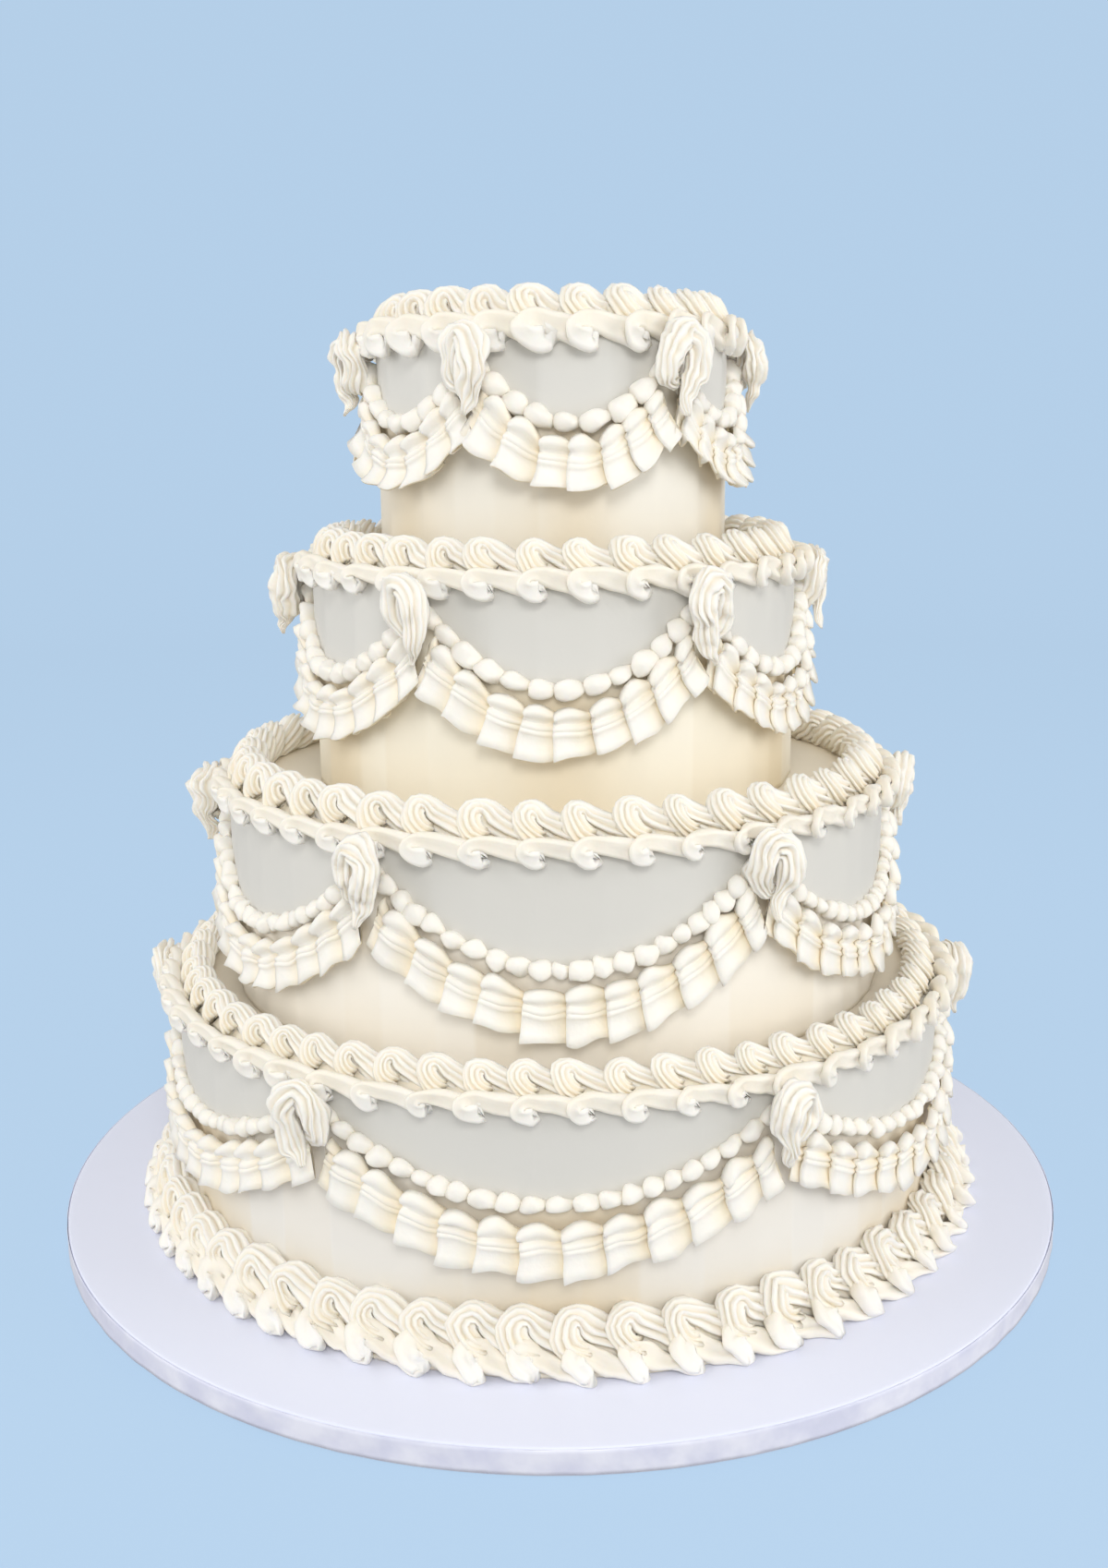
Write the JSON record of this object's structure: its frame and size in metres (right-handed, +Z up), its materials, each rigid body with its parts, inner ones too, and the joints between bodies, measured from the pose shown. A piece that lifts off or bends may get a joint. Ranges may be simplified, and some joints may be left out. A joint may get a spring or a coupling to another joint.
{
  "type": "tiered wedding cake",
  "caption": "Round tiered wedding cake in ivory buttercream with piped rope borders, scrolls, pearl strings, ruffled swags and drops, on its satin covered board.",
  "frame": {"origin": "centre of the board's underside, where the cake stands", "axes": "+Z up along the axis of the tiers, -Y to the front of the cake, +X to the viewer's right"},
  "size_m": [0.508, 0.508, 0.4542],
  "materials": {
    "cake": "scraped ivory buttercream with a soft satin sheen",
    "piping": "piped ivory white buttercream, satin",
    "board": "pale lilac white satin foil paper over a cake drum",
    "ribbon": "pale lilac white satin ribbon, slightly crinkled"
  },
  "bodies": {
    "root": {"cake_board": "board", "board_ribbon": "ribbon", "base_rope": "piping", "base_curls": "piping", "tier_1": "cake", "rim_rope_1": "piping", "rim_scroll_1": "piping", "pearl_swags_1": "piping", "ruffle_swags_1": "piping", "drop_1_1": "piping", "drop_1_2": "piping", "drop_1_3": "piping", "drop_1_4": "piping", "drop_1_5": "piping", "drop_1_6": "piping", "tier_2": "cake", "rim_rope_2": "piping", "rim_scroll_2": "piping", "pearl_swags_2": "piping", "ruffle_swags_2": "piping", "drop_2_1": "piping", "drop_2_2": "piping", "drop_2_3": "piping", "drop_2_4": "piping", "drop_2_5": "piping", "drop_2_6": "piping", "tier_3": "cake", "rim_rope_3": "piping", "rim_scroll_3": "piping", "pearl_swags_3": "piping", "ruffle_swags_3": "piping", "drop_3_1": "piping", "drop_3_2": "piping", "drop_3_3": "piping", "drop_3_4": "piping", "drop_3_5": "piping", "drop_3_6": "piping", "tier_4": "cake", "rim_rope_4": "piping", "rim_scroll_4": "piping", "pearl_swags_4": "piping", "ruffle_swags_4": "piping", "drop_4_1": "piping", "drop_4_2": "piping", "drop_4_3": "piping", "drop_4_4": "piping", "drop_4_5": "piping", "drop_4_6": "piping"}
  },
  "joints": []
}
